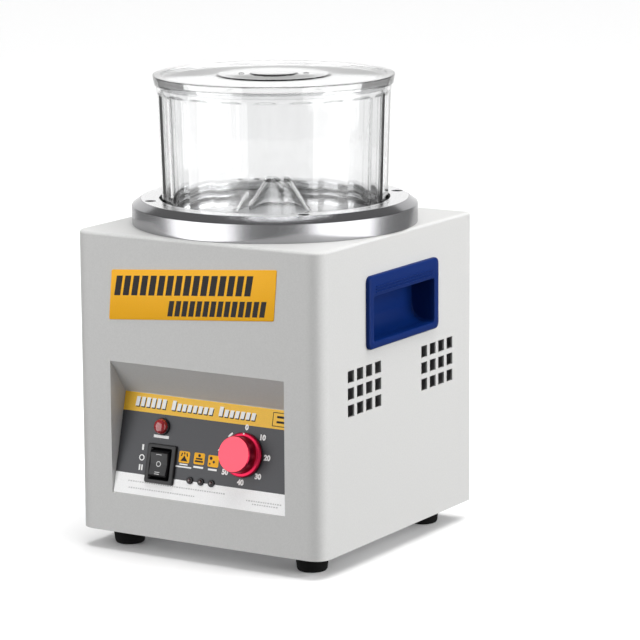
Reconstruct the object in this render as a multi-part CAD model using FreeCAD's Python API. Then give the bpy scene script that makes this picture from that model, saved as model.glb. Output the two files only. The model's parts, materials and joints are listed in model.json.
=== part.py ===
import FreeCAD, Part
import math
import os
from FreeCAD import Matrix, Placement, Vector

os.makedirs("parts", exist_ok=True)

# A magnetic tumbler: a motor in a sheet steel housing spins a disc of magnets under a clear bowl.
# Millimetres, +Z up, the floor at z = 0, the bowl's axis on the Z axis, the controls towards -Y.

# Driving dimensions: housing
housing_width = 240.0
housing_depth = 246.6
housing_bottom = 16.4
housing_top = 269.0
sheet = 1.5
front_corner_radius = 14.0
back_corner_radius = 3.0
top_edge_radius = 2.5
bottom_flange = 12.0
rear_frame = 13.5
front_face = -housing_depth / 2
rear_face = housing_depth / 2

# Control recess: its section in the YZ plane, and the window in the front sheet
recess_half_width = 85.0
recess_low = (-122.3, 50.0)
recess_deep = (-101.6, 133.4)
recess_high = (front_face, 162.2)
panel_length = math.hypot(recess_deep[0] - recess_low[0], recess_deep[1] - recess_low[1])
panel_lean = math.atan2(recess_deep[0] - recess_low[0], recess_deep[1] - recess_low[1])
film = 0.5

# Controls, as x and the height v up the leaning panel
lamp_at = (-43.5, 59.6)
switch_at = (-40.2, 28.6)
status_at = [(-10.3, 18.6), (0.4, 18.6), (10.8, 18.6)]
timer_at = (38.5, 45.2)

# Nameplate on the front wall: how much higher its right end stands, and how far its ends lean
nameplate_width, nameplate_height = 160.9, 42.0
nameplate_rise, nameplate_lean = 13.2, 3.5
nameplate_at = (-2.6, 224.8)

# Collar, deck and bowl
collar_radius = 120.0
collar_edge = 284.6
collar_top = 290.1
collar_top_radius = 112.2
collar_bore = 96.8
deck_top = 276.0
bowl_base = deck_top + 0.1
bowl_rim = 388.1
bowl_wall_slope = 2.82 / 90.8
facet_count = 21
facet_phase = -53.2
bowl_floor = 3.2
lid_rim, lid_top = 393.3, 394.2

# Side features, shared by both side walls
side_centre_y = 4.3
grip_half_length = 57.4
grip_low, grip_high = 178.8, 239.5
vent_size = 10.0

# Drive
shaft_radius = 5.0
motor_radius = 48.0
motor_low, motor_high = 92.0, 204.0
disc_radius = 78.0

nodes = {}


def box(x0, x1, y0, y1, z0, z1):
    return Part.makeBox(x1 - x0, y1 - y0, z1 - z0, Vector(x0, y0, z0))


def cylinder(radius, z0, z1, x=0.0, y=0.0):
    return Part.makeCylinder(radius, z1 - z0, Vector(x, y, z0))


def tube(outer, inner, z0, z1, x=0.0, y=0.0):
    return cylinder(outer, z0, z1, x, y).cut(cylinder(inner, z0 - 1, z1 + 1, x, y))


def hexagon(across_flats, z0, z1):
    radius = across_flats / math.sqrt(3)
    turns = [math.radians(60 * k) for k in range(7)]
    outline = Part.makePolygon([Vector(radius * math.cos(a), radius * math.sin(a), z0) for a in turns])
    return Part.Face(outline).extrude(Vector(0, 0, z1 - z0))


def spun(profile):
    """A solid of revolution about Z from (radius, height) points."""
    points = [Vector(r, 0, z) for r, z in profile]
    face = Part.Face(Part.makePolygon(points + points[:1]))
    return face.revolve(Vector(0, 0, 0), Vector(0, 0, 1), 360)


def prism_along_x(section, x0, x1):
    """A solid from (y, z) points, drawn out along X."""
    points = [Vector(x0, y, z) for y, z in section]
    return Part.Face(Part.makePolygon(points + points[:1])).extrude(Vector(x1 - x0, 0, 0))


def edges_along(shape, axis):
    """The straight edges that run along one axis: 0, 1 or 2."""
    found = []
    for edge in shape.Edges:
        if len(edge.Vertexes) == 2:
            step = edge.Vertexes[1].Point - edge.Vertexes[0].Point
            others = [abs(step[k]) for k in range(3) if k != axis]
            if max(others) < 1e-6:
                found.append(edge)
    return found


def edges_at_height(shape, z):
    return [e for e in shape.Edges if all(abs(v.Z - z) < 1e-6 for v in e.Vertexes)]


def rounded_block(width, depth, z0, z1, radius, x=0.0, y=0.0):
    block = box(x - width / 2, x + width / 2, y - depth / 2, y + depth / 2, z0, z1)
    return block.makeFillet(radius, edges_along(block, 2))


def group(shapes):
    return Part.makeCompound(list(shapes))


def placed(shape, origin, right, up, out):
    """Move a piece drawn flat, with +Z outwards, onto a face given by its three directions."""
    turn = Matrix(right[0], up[0], out[0], origin[0],
                  right[1], up[1], out[1], origin[1],
                  right[2], up[2], out[2], origin[2],
                  0, 0, 0, 1)
    moved = shape.copy()
    moved.Placement = Placement(turn).multiply(moved.Placement)
    return moved


def on_panel(shape, at=(0.0, 0.0)):
    """Onto the leaning control panel: x across, v up the panel, +Z out of it."""
    sine, cosine = math.sin(panel_lean), math.cos(panel_lean)
    origin = (at[0], recess_low[0] + at[1] * sine, recess_low[1] + at[1] * cosine)
    return placed(shape, origin, (1, 0, 0), (0, sine, cosine), (0, -cosine, sine))


def on_rear(shape, x, z, y):
    """Onto a rear face at depth y, +Z pointing backwards."""
    return placed(shape, (x, y, z), (-1, 0, 0), (0, 0, 1), (0, 1, 0))


def mirrored(shape):
    return shape.mirror(Vector(0, 0, 0), Vector(1, 0, 0))


def pan_screw(head_radius, head_height, shank_radius, length):
    """A cross-recessed screw: head above z = 0, shank below."""
    head = cylinder(head_radius, 0, head_height)
    head = head.makeFillet(head_height * 0.45, edges_at_height(head, head_height))
    slot = head_radius * 0.55
    cross = box(-slot, slot, -0.5, 0.5, head_height * 0.4, head_height + 1)
    cross = cross.fuse(box(-0.5, 0.5, -slot, slot, head_height * 0.4, head_height + 1))
    return head.fuse(cylinder(shank_radius, -length, 0)).cut(cross).removeSplitter()


def countersunk_screw(head_radius, shank_radius, length):
    """A socket screw with its flat head's top at z = 0."""
    cone = head_radius - shank_radius
    body = spun([(0, 0), (head_radius, 0), (head_radius, -0.4), (shank_radius, -0.4 - cone),
                 (shank_radius, -length), (0, -length)])
    return body.cut(hexagon(head_radius * 0.75, -2.4, 1))


def housing_block(inset, z0, z1):
    """The housing's outline seen from above, drawn up between two heights."""
    half_w = housing_width / 2 - inset
    half_d = housing_depth / 2 - inset
    block = box(-half_w, half_w, -half_d, half_d, z0, z1)
    upright = edges_along(block, 2)
    front = [e for e in upright if e.Vertexes[0].Y < 0]
    block = block.makeFillet(front_corner_radius - inset, front)
    upright = edges_along(block, 2)
    back = [e for e in upright if e.Vertexes[0].Y > half_d - 0.1]
    return block.makeFillet(max(back_corner_radius - inset, 0.8), back)


def at_each(shape, places):
    return group(shape.translated(Vector(*p)) for p in places)


def four_corners(x, y, z=0.0):
    return [(sx * x, sy * y, z) for sx in (-1, 1) for sy in (-1, 1)]


# ---------------------------------------------------------------- housing
foot_places = four_corners(90.6, 91.0)
collar_screw_places = four_corners(75.0, 75.0)
post_places = four_corners(40.0, 101.0)
rear_screw_places = [(sx * 108.5, z) for sx in (-1, 1) for z in (28.0, 142.5, 257.0)]
base_screw_places = [(sx * 112.6, y, 0.0) for sx in (-1, 1) for y in (-60.0, 0.0, 60.0)]

shell = housing_block(0, housing_bottom, housing_top)
shell = shell.makeFillet(top_edge_radius, edges_at_height(shell, housing_top))
shell = shell.cut(housing_block(sheet, housing_bottom + sheet, housing_top - sheet))
floor_cut = housing_block(sheet + bottom_flange, housing_bottom - 1, housing_bottom + sheet + 1)
shell = shell.cut(floor_cut)
shell = shell.cut(box(-120 + rear_frame, 120 - rear_frame, 110, 130,
                      housing_bottom + rear_frame, housing_top - rear_frame))
shell = shell.cut(box(-recess_half_width, recess_half_width, front_face - 1, front_face + sheet + 0.5,
                      recess_low[1], recess_high[1]))
shell = shell.cut(cylinder(90.0, housing_top - 5, housing_top + 5))
for x, y, z in collar_screw_places:
    shell = shell.cut(cylinder(2.7, housing_top - 5, housing_top + 5, x, y))
for x, y, z in base_screw_places:
    shell = shell.cut(cylinder(1.9, housing_bottom - 1, housing_bottom + 3, x, y))
for x, z in rear_screw_places:
    shell = shell.cut(on_rear(cylinder(1.9, -4, 4), x, z, rear_face))
for side in (-1, 1):
    wall = (107.0, 130.0) if side > 0 else (-130.0, -107.0)
    shell = shell.cut(box(wall[0], wall[1], side_centre_y - 52.2, side_centre_y + 52.2, 182.0, 236.5))
    for bank in (-1, 1):
        for column in range(4):
            y = side_centre_y + bank * (38.1 + 14.4 * column)
            for row in range(3):
                z = 133.2 + 14.1 * row
                shell = shell.cut(box(wall[0], wall[1], y - vent_size / 2, y + vent_size / 2,
                                      z - vent_size / 2, z + vent_size / 2))
nodes["housing_shell"] = shell

inlet_at = (-62.0, 60.0)
fuse_at = (-10.0, 60.0)
rear = rounded_block(226.0, 242.0, 0, sheet, 4.0)
rear_middle = (housing_bottom + housing_top) / 2
rear = on_rear(rear, 0, rear_middle, rear_face)
for x, z in rear_screw_places:
    rear = rear.cut(on_rear(cylinder(1.9, -4, 4), x, z, rear_face))
rear = rear.cut(on_rear(rounded_block(28.4, 20.8, -4, 4, 2.0), inlet_at[0], inlet_at[1], rear_face))
rear = rear.cut(on_rear(cylinder(6.2, -4, 4), fuse_at[0], fuse_at[1], rear_face))
for side in (-1, 1):
    rear = rear.cut(on_rear(cylinder(1.7, -4, 4), inlet_at[0] + side * 20, inlet_at[1], rear_face))
for column in range(9):
    for row in range(3):
        slot = rounded_block(4.0, 22.0, -4, 4, 1.9)
        rear = rear.cut(on_rear(slot, (column - 4) * 13.0, 150.0 + row * 30.0, rear_face))
nodes["rear_panel"] = rear
nodes["rear_screws"] = group(
    on_rear(pan_screw(3.4, 2.1, 1.8, 8.0), x, z, rear_face + sheet) for x, z in rear_screw_places)

base = housing_block(sheet + 0.3, housing_bottom + sheet, housing_bottom + 2 * sheet)
for x, y, z in foot_places:
    base = base.cut(cylinder(2.2, 0, 30, x, y))
for x, y, z in base_screw_places:
    base = base.cut(cylinder(1.9, 0, 30, x, y))
for row in range(7):
    y = (row - 3) * 11.0
    base = base.cut(rounded_block(56.0, 5.0, 10, 30, 2.4, 0, y))
nodes["base_plate"] = base
base_top = housing_bottom + 2 * sheet
base_screw = pan_screw(3.2, 2.0, 1.8, 8.0)
base_screw.rotate(Vector(0, 0, 0), Vector(1, 0, 0), 180)
nodes["base_screws"] = at_each(base_screw, [(x, y, housing_bottom) for x, y, z in base_screw_places])

# Feet: rubber bumpers, each with a screw up its middle
foot = spun([(2.3, 4.5), (5.5, 4.5), (5.5, 0), (11.2, 0), (12.4, 1.2), (14.3, housing_bottom - 1.0),
             (14.3, housing_bottom + sheet), (2.3, housing_bottom + sheet)])
nodes["feet"] = at_each(foot, foot_places)
foot_screw = pan_screw(4.2, 2.6, 2.0, 20.0)
foot_screw.rotate(Vector(0, 0, 0), Vector(1, 0, 0), 180)
nodes["foot_screws"] = at_each(foot_screw, [(x, y, 4.5) for x, y, z in foot_places])

# ---------------------------------------------------------------- control recess
def recess_section(thickness):
    """The recess in section, grown outwards by a thickness, open towards the front."""
    lean_y, lean_z = math.cos(panel_lean), -math.sin(panel_lean)
    slope = math.atan2(recess_high[1] - recess_deep[1], recess_deep[0] - recess_high[0])
    up_y, up_z = math.sin(slope), math.cos(slope)
    low = (recess_low[0] + thickness * lean_y, recess_low[1] + thickness * lean_z)
    high = (recess_high[0] + thickness * up_y, recess_high[1] + thickness * up_z)
    half_turn = (math.pi / 2 - panel_lean + slope) / 2
    reach = thickness / math.sin(half_turn)
    along = math.pi / 2 - panel_lean - half_turn
    deep = (recess_deep[0] + reach * math.cos(along), recess_deep[1] + reach * math.sin(along))
    return [(-126.0, low[1] - (0.0 if thickness == 0 else 0.2)), low, deep, high, (-126.0, high[1])]


recess = prism_along_x(recess_section(sheet), -recess_half_width - sheet, recess_half_width + sheet)
recess = recess.cut(prism_along_x(recess_section(0.0), -recess_half_width, recess_half_width))
behind_sheet = box(-90, 90, front_face + sheet, 0, 40, 175)
in_window = box(-recess_half_width, recess_half_width, front_face, front_face + sheet,
                recess_low[1], recess_high[1])
recess = recess.common(behind_sheet.fuse(in_window))
recess = max(recess.Solids, key=lambda solid: solid.Volume)

film_sheet = box(-recess_half_width + 0.5, recess_half_width - 0.5, 0.7, panel_length - 0.5, 0, film)
panel_holes = [
    (cylinder(5.7, -9, 9), lamp_at),
    (box(-12.7, 12.7, -14.7, 14.7, -9, 9), switch_at),
    (cylinder(4.7, -9, 9), timer_at),
]
for place in status_at:
    panel_holes.append((cylinder(2.2, -9, 9), place))
overlay = on_panel(film_sheet)
for tool, place in panel_holes:
    recess = recess.cut(on_panel(tool, place))
    overlay = overlay.cut(on_panel(tool, place))
nodes["panel_recess"] = recess
nodes["panel_overlay"] = overlay

# Lamp
lamp_bezel = spun([(5.0, -16), (5.5, -16), (5.5, film), (7.2, film), (7.2, 1.8), (6.6, 2.6), (5.0, 2.6)])
nodes["lamp_bezel"] = on_panel(lamp_bezel, lamp_at)
lens_profile = [(0, -15), (4.8, -15), (4.8, 2.7), (6.4, 2.7), (6.2, 4.4), (5.2, 6.0), (3.2, 7.0), (0, 7.4)]
nodes["lamp_lens"] = on_panel(spun(lens_profile), lamp_at)

# Rocker switch: a moulded frame and body, and a three-position rocker on its pin
switch_frame = rounded_block(28.3, 32.8, film, 3.0, 1.5)
switch_frame = switch_frame.makeFillet(1.0, edges_at_height(switch_frame, 3.0))
switch_frame = switch_frame.fuse(box(-12.5, 12.5, -14.5, 14.5, -22, film + 0.5))
switch_frame = switch_frame.cut(box(-8.9, 8.9, -12.3, 12.3, -14, 9))
pivot_height = -1.5
pin = Part.makeCylinder(1.2, 21.0, Vector(-10.5, 0, pivot_height), Vector(1, 0, 0))
nodes["switch_frame"] = on_panel(switch_frame.removeSplitter().fuse(pin), switch_at)
rocker = prism_along_x([(-12.6, 6.9), (0, 4.7), (12.6, 6.9), (12.6, -6.0), (-12.6, -6.0)], -8.5, 8.5)
rocker = rocker.common(Part.makeCylinder(12.0, 20.0, Vector(-10, 0, pivot_height), Vector(1, 0, 0)))
rocker = rocker.cut(Part.makeCylinder(1.25, 20.0, Vector(-10, 0, pivot_height), Vector(1, 0, 0)))
nodes["switch_rocker"] = on_panel(rocker, switch_at)

# Three small status lights
status_bezel = spun([(1.7, -6), (2.1, -6), (2.1, film), (3.1, film), (3.1, 1.2), (2.6, 1.8), (1.7, 1.8)])
nodes["status_bezels"] = group(on_panel(status_bezel, place) for place in status_at)
status_lens = spun([(0, -7), (1.6, -7), (1.6, 2.2), (1.2, 2.8), (0, 3.1)])
nodes["status_lenses"] = group(on_panel(status_lens, place) for place in status_at)

# Timer: body and threaded bush behind the panel, nut in front, shaft and knob that turn
timer_body = rounded_block(44.0, 44.0, -38, -sheet, 5.0)
bush = cylinder(4.5, -sheet, 4.0)
bore = cylinder(3.05, -30, 9)
nodes["timer_body"] = on_panel(timer_body.fuse(bush).cut(bore), timer_at)
timer_nut = hexagon(13.0, film, 3.0).cut(cylinder(4.6, -1, 9))
nodes["timer_nut"] = on_panel(timer_nut, timer_at)
nodes["timer_shaft"] = on_panel(cylinder(3.0, -28, 13.0), timer_at)
knob = spun([(0, 16.3), (14.2, 16.3), (15.2, 15.3), (15.4, 4.6), (18.0, 4.2), (18.4, 3.6), (18.4, 1.4),
             (9.0, 1.4), (9.0, 4.8), (3.1, 4.8), (3.1, 13.0), (0, 13.0)])
setscrew_hole = Part.makeCylinder(1.6, 30, Vector(0, 0, 8.5), Vector(0, -1, 0))
nodes["timer_knob"] = on_panel(knob.cut(setscrew_hole), timer_at)
setscrew = Part.makeCylinder(1.55, 6.0, Vector(0, -3.1, 8.5), Vector(0, -1, 0))
nodes["knob_setscrew"] = on_panel(setscrew, timer_at)

# The nameplate has slanted ends and is stuck on a little askew, its right end high
nameplate_corners = [
    Vector(nameplate_at[0] + (sx * nameplate_width + sy * nameplate_lean) / 2, front_face - 0.6,
           nameplate_at[1] + (sy * nameplate_height + sx * nameplate_rise) / 2)
    for sx, sy in ((-1, -1), (1, -1), (1, 1), (-1, 1), (-1, -1))]
nodes["nameplate"] = Part.Face(Part.makePolygon(nameplate_corners)).extrude(Vector(0, 0.6, 0))

# ---------------------------------------------------------------- side grips
grip_face = housing_width / 2 + 3.5
grip_back = 99.0
plate = box(housing_width / 2, grip_face, side_centre_y - grip_half_length,
            side_centre_y + grip_half_length, grip_low, grip_high)
plate = plate.makeFillet(5.0, edges_along(plate, 0))
front_edges = [e for e in plate.Edges if all(abs(v.X - grip_face) < 1e-6 for v in e.Vertexes)]
plate = plate.makeFillet(1.2, front_edges)
cup = box(grip_back, housing_width / 2, side_centre_y - 51.7, side_centre_y + 51.7, 182.5, 236.0)
hollow = box(grip_back + 2.0, 130.0, side_centre_y - 49.6, side_centre_y + 49.6, 184.9, 222.3)
low_back = [e for e in edges_along(hollow, 1)
            if e.Vertexes[0].X < grip_back + 3 and e.Vertexes[0].Z < 190]
hollow = hollow.makeFillet(14.0, low_back)
undercut = box(grip_back + 2.0, 117.0, side_centre_y - 49.6, side_centre_y + 49.6, 215.0, 233.5)
grip = plate.fuse(cup).cut(hollow.fuse(undercut)).removeSplitter()
for z in (225.6, 228.0, 230.4):
    rib = box(grip_face - 0.5, grip_face + 0.7, side_centre_y - 46, side_centre_y + 46, z - 0.55, z + 0.55)
    grip = grip.fuse(rib)
nodes["grip_right"] = grip
nodes["grip_left"] = mirrored(grip)

# ---------------------------------------------------------------- collar and deck
collar = spun([(collar_bore, deck_top + 0.8), (collar_bore, collar_top - 0.8),
               (collar_bore + 0.8, collar_top), (collar_top_radius, collar_top),
               (collar_radius, collar_edge), (collar_radius, housing_top), (102.0, housing_top),
               (102.0, deck_top + 0.8)])
for x, y, z in collar_screw_places:
    sink = spun([(0, 1), (4.6, 1), (4.6, -0.3), (2.6, -2.4), (2.6, -40), (0, -40)])
    collar = collar.cut(sink.translated(Vector(x, y, collar_top)))
nodes["collar_ring"] = collar
nodes["collar_screws"] = at_each(countersunk_screw(4.4, 2.4, 27.0),
                                 [(x, y, collar_top - 0.1) for x, y, z in collar_screw_places])
collar_nut = hexagon(8.0, 0, 4.0).cut(cylinder(2.5, -1, 5))
nut_height = housing_top - sheet - 4.0
nodes["collar_nuts"] = at_each(collar_nut, [(x, y, nut_height) for x, y, z in collar_screw_places])
nodes["deck_seat_ring"] = tube(101.6, 87.0, housing_top, deck_top - 2.0)
nodes["deck_plate"] = cylinder(101.6, deck_top - 2.0, deck_top)
nodes["deck_gasket"] = tube(101.4, 97.4, deck_top, deck_top + 0.8)

# ---------------------------------------------------------------- bowl and lid
def bowl_radius(z):
    return 95.25 + (z - 290.0) * bowl_wall_slope


def facet_outline(radius, z):
    turns = [math.radians(facet_phase + 360.0 * k / facet_count) for k in range(facet_count + 1)]
    return Part.makePolygon([Vector(radius * math.cos(a), radius * math.sin(a), z) for a in turns])


facet_stop, facet_end = 377.0, 382.5
round_outside = spun([(0, bowl_base), (bowl_radius(bowl_base) - 3.0, bowl_base),
                      (bowl_radius(bowl_base), bowl_base + 3.0), (bowl_radius(facet_end), facet_end),
                      (bowl_radius(facet_end) + 0.1, bowl_rim), (0, bowl_rim)])
grow = 1.0 / math.cos(math.pi / facet_count)
lower = Part.makeLoft([facet_outline(bowl_radius(bowl_base) + 0.12, bowl_base),
                       facet_outline(bowl_radius(facet_stop) + 0.12, facet_stop)], True, True)
middle = Part.makeLoft([facet_outline(bowl_radius(facet_stop) + 0.12, facet_stop),
                        facet_outline(bowl_radius(facet_end) * grow + 0.4, facet_end)], True, True)
outside = round_outside.common(lower)
outside = outside.fuse(round_outside.common(middle))
outside = outside.fuse(round_outside.common(cylinder(130, facet_end, bowl_rim + 1)))
floor_top = bowl_base + bowl_floor
inside = spun([(33.0, floor_top), (88.5, floor_top), (91.2, floor_top + 1.2), (92.4, floor_top + 4.0),
               (95.3, bowl_rim + 1), (0, bowl_rim + 1), (0, floor_top + 27.0), (7.4, floor_top + 27.0),
               (9.4, floor_top + 25.4)])
under_cone = spun([(0, bowl_base - 1), (31.5, bowl_base - 1), (30.4, bowl_base), (7.2, bowl_base + 26.0),
                   (0, bowl_base + 26.6)])
nodes["bowl"] = outside.cut(inside).cut(under_cone).removeSplitter()

lid_under = bowl_rim + 0.1
lid_step = lid_top - 1.0
lid = spun([(0, lid_under), (99.0, lid_under), (99.0, 385.6), (99.9, 385.6), (101.1, lid_rim - 1.2),
            (101.1, lid_rim - 0.4), (100.7, lid_rim), (94.9, lid_rim), (93.8, lid_rim - 1.8),
            (48.0, lid_rim - 1.8), (46.6, lid_step), (20.5, lid_step), (19.4, lid_top), (0, lid_top)])
for side in (-1, 1):
    turn = math.radians(31.0)
    stud = cylinder(2.0, lid_step - 0.2, lid_step + 0.8)
    stud.translate(Vector(side * 27 * math.cos(turn), side * 27 * math.sin(turn), 0))
    lid = lid.fuse(stud)
nodes["lid"] = lid

# ---------------------------------------------------------------- motor
bracket_low, bracket_high = motor_high, motor_high + 3.0
bush_high = bracket_high + 4.0
motor_screw_places = four_corners(28.0, 28.0)
can_low, can_high = motor_low + 8.0, motor_high - 8.0
nodes["motor_can"] = tube(motor_radius, motor_radius - 2.0, can_low, can_high)
top_cap = cylinder(motor_radius, can_high, motor_high).fuse(cylinder(14.0, motor_high, motor_high + 6.0))
top_cap = top_cap.cut(cylinder(11.0, can_high + 2.0, motor_high + 7.0)).cut(cylinder(6.0, 0, 300))
for x, y, z in motor_screw_places:
    top_cap = top_cap.cut(cylinder(2.1, can_high + 1.5, motor_high + 1, x, y))
nodes["motor_top_cap"] = top_cap
base_cap = cylinder(motor_radius, motor_low, can_low).cut(cylinder(11.0, motor_low + 1.5, can_low + 1))
base_cap = base_cap.cut(cylinder(6.0, 0, 300))
for k in range(8):
    vent = rounded_block(14.0, 5.0, 0, 300, 2.3, 31.0, 0)
    vent.rotate(Vector(0, 0, 0), Vector(0, 0, 1), 45 * k)
    base_cap = base_cap.cut(vent)
nodes["motor_base_cap"] = base_cap
nodes["upper_bearing"] = tube(10.95, shaft_radius + 0.05, can_high + 2.0, motor_high + 5.5)
nodes["lower_bearing"] = tube(10.95, shaft_radius + 0.05, motor_low + 1.5, can_low + 1.0)
stator_low, stator_high = 122.0, 176.0
stator = tube(motor_radius - 2.1, 27.2, stator_low, stator_high)
for k in range(12):
    slot = box(30.0, 40.0, -3.2, 3.2, stator_low - 1, stator_high + 1)
    slot.rotate(Vector(0, 0, 0), Vector(0, 0, 1), 30 * k)
    stator = stator.cut(slot)
nodes["stator_core"] = stator
coil_ends = [tube(41.0, 30.2, z, z + 10.0) for z in (stator_low - 10.0, stator_high)]
nodes["stator_windings"] = group(end.makeFillet(3.0, edges_at_height(end, end.BoundBox.ZMax))
                                 for end in coil_ends)

bracket = rounded_block(130.0, 222.0, bracket_low, bracket_high, 8.0)
bracket = bracket.cut(cylinder(14.6, 0, 300))
for x, y, z in motor_screw_places + post_places:
    bracket = bracket.cut(cylinder(2.3, 0, 300, x, y))
for side in (-1, 1):
    bracket = bracket.cut(rounded_block(60.0, 30.0, 0, 300, 8.0, 0, side * 68.0))
nodes["motor_bracket"] = bracket
nodes["motor_screws"] = at_each(pan_screw(3.6, 2.4, 2.0, 9.0), [(x, y, bracket_high)
                                                               for x, y, z in motor_screw_places])
nodes["vibration_bushes"] = at_each(tube(9.0, 2.4, bracket_high, bush_high), post_places)
post = cylinder(6.0, bush_high, housing_top - sheet)
post = post.cut(cylinder(2.3, bush_high - 1, bush_high + 12.0))
nodes["bracket_posts"] = at_each(post, post_places)
low_screw = pan_screw(4.4, 2.6, 2.2, 16.0)
low_screw.rotate(Vector(0, 0, 0), Vector(1, 0, 0), 180)
nodes["bracket_screws"] = at_each(low_screw, [(x, y, bracket_low) for x, y, z in post_places])

# Rotor: everything that spins with the shaft
fan_low = 72.0
disc_low = 262.0
shaft = cylinder(shaft_radius, fan_low, disc_low + 3.0)
nodes["motor_shaft"] = shaft
nodes["rotor_core"] = tube(26.7, shaft_radius + 0.02, stator_low - 1.0, stator_high + 1.0)
fan = cylinder(9.0, fan_low + 1.0, motor_low - 3.0).fuse(cylinder(37.0, motor_low - 6.0, motor_low - 4.0))
for k in range(9):
    blade = box(8.0, 36.0, -0.9, 0.9, fan_low + 3.0, motor_low - 5.0)
    blade.rotate(Vector(0, 0, 0), Vector(0, 0, 1), 40 * k)
    fan = fan.fuse(blade)
nodes["cooling_fan"] = fan.cut(cylinder(shaft_radius + 0.02, 0, 300)).removeSplitter()
hub = tube(15.0, shaft_radius + 0.02, disc_low - 16.0, disc_low)
hub_screw_height = disc_low - 8.0
hub_hole = Part.makeCylinder(2.5, 20, Vector(0, 0, hub_screw_height), Vector(1, 0, 0))
nodes["disc_hub"] = hub.cut(hub_hole)
nodes["hub_setscrew"] = Part.makeCylinder(2.4, 8.0, Vector(shaft_radius + 0.05, 0, hub_screw_height),
                                          Vector(1, 0, 0))
disc = tube(disc_radius, shaft_radius + 0.1, disc_low, disc_low + 4.0)
magnet_turns = [math.radians(45 * k + 22.5) for k in range(8)]
magnet_places = [(60 * math.cos(a), 60 * math.sin(a), 0.0) for a in magnet_turns]
nodes["magnet_disc"] = disc
nodes["disc_magnets"] = at_each(cylinder(10.0, disc_low + 4.0, disc_low + 9.0), magnet_places)

# ---------------------------------------------------------------- electrics
capacitor_at = (78.0, 48.0)
nodes["run_capacitor"] = rounded_block(38.0, 24.0, base_top, base_top + 52.0, 4.0,
                                       capacitor_at[0], capacitor_at[1])
clip = rounded_block(42.0, 28.0, base_top + 20.0, base_top + 32.0, 5.0, capacitor_at[0], capacitor_at[1])
clip = clip.cut(rounded_block(38.2, 24.2, base_top, base_top + 60, 4.1, capacitor_at[0], capacitor_at[1]))
leg = box(-8, 8, 14.0, 16.0, base_top, base_top + 32.0).fuse(box(-8, 8, 14.0, 28.0, base_top, base_top + 2.0))
nodes["capacitor_clip"] = clip.fuse(leg.translated(Vector(capacitor_at[0], capacitor_at[1], 0)))
block = box(-88, -66, 20, 74, base_top, base_top + 16.0)
for k in range(6):
    y = 25.0 + 9.0 * k
    block = block.cut(Part.makeCylinder(2.4, 40, Vector(-97, y, base_top + 6.0), Vector(1, 0, 0)))
    block = block.cut(cylinder(2.6, base_top + 8.0, base_top + 20.0, -82.0, y))
nodes["terminal_block"] = block

flange_top = 2.5
inlet = rounded_block(50.0, 24.0, 0, flange_top, 4.0).fuse(rounded_block(28.0, 20.4, -18.0, 0.5, 2.0))
inlet = inlet.cut(rounded_block(24.6, 17.0, -15.0, 9.0, 2.0))
for side in (-1, 1):
    inlet = inlet.cut(cylinder(1.7, -5, 9, side * 20, 0))
nodes["power_inlet"] = on_rear(inlet, inlet_at[0], inlet_at[1], rear_face + sheet)
blade_places = [(-7.0, -2.0), (7.0, -2.0), (0.0, 2.0)]
blades = [box(x - 1.0, x + 1.0, y - 2.0, y + 2.0, -26.0, -5.0) for x, y in blade_places]
nodes["inlet_blades"] = group(on_rear(b, inlet_at[0], inlet_at[1], rear_face + sheet) for b in blades)
nodes["power_inlet"] = nodes["power_inlet"].cut(nodes["inlet_blades"])
nodes["inlet_screws"] = group(
    on_rear(pan_screw(2.9, 1.8, 1.5, 9.0), inlet_at[0] + side * 20, inlet_at[1],
            rear_face + sheet + flange_top) for side in (-1, 1))

holder = spun([(4.4, -30), (6.0, -30), (6.0, 0), (8.5, 0), (8.5, 2.4), (4.4, 2.4)])
nodes["fuse_holder"] = on_rear(holder, fuse_at[0], fuse_at[1], rear_face + sheet)
cap = spun([(0, -6), (3.9, -6), (3.9, 2.5), (6.6, 2.5), (6.6, 4.6), (6.0, 5.2), (0, 5.2)])
cap = cap.cut(box(-4.2, 4.2, -0.6, 0.6, 4.1, 9))
nodes["fuse_cap"] = on_rear(cap, fuse_at[0], fuse_at[1], rear_face + sheet)


def lead(points, radius):
    """A round wire along a smooth path."""
    curve = Part.BSplineCurve()
    curve.interpolate([Vector(*p) for p in points])
    start = curve.FirstParameter
    ring = Part.Circle(curve.value(start), curve.tangent(start)[0], radius).toShape()
    return Part.Wire(curve.toShape()).makePipeShell([Part.Wire(ring)], True, True)


block_near = (-65.2, 34.0, base_top + 6.0)
block_mid = (-65.2, 52.0, base_top + 6.0)
block_last = (-65.2, 43.0, base_top + 6.0)
block_far = (-88.8, 25.0, base_top + 6.0)
block_far_2 = (-88.8, 43.0, base_top + 6.0)
lead_paths = [
    [(-69.0, 98.0, 62.0), (-70.0, 88.0, 58.0), (-64.0, 78.0, 40.0), (-60.0, 60.0, 28.0), block_mid],
    [(-55.0, 98.0, 62.0), (-54.0, 88.0, 56.0), (-50.0, 70.0, 36.0), (-58.0, 42.0, 28.0), block_near],
    [block_far, (-98.0, 10.0, 30.0), (-96.0, -50.0, 50.0), (-60.0, -84.0, 68.0), (-46.0, -88.0, 74.0)],
    [block_far_2, (-104.0, 20.0, 34.0), (-104.0, -60.0, 60.0), (-70.0, -80.0, 84.0), (-46.5, -86.0, 84.0)],
    [(57.4, 48.0, 60.0), (52.0, 49.0, 62.0), (38.0, 38.0, 90.0), (35.2, 35.2, 108.0), (35.2, 35.2, 124.0)],
    [block_last, (-52.0, 50.0, 40.0), (-38.0, 40.0, 84.0), (-35.2, 35.2, 108.0), (-35.2, 35.2, 124.0)],
]
nodes["inner_leads"] = group(lead(path, 1.3) for path in lead_paths)

total = 0
for name, shape in nodes.items():
    solids = shape.Solids
    total += len(solids)
    bad = "" if shape.isValid() else "  NOT VALID"
    print(name, len(solids), "solids", round(shape.Volume / 1000.0, 2), "cm3" + bad)
    shape.exportStep("parts/" + name + ".step")
print(len(nodes), "nodes", total, "solids")
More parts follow.
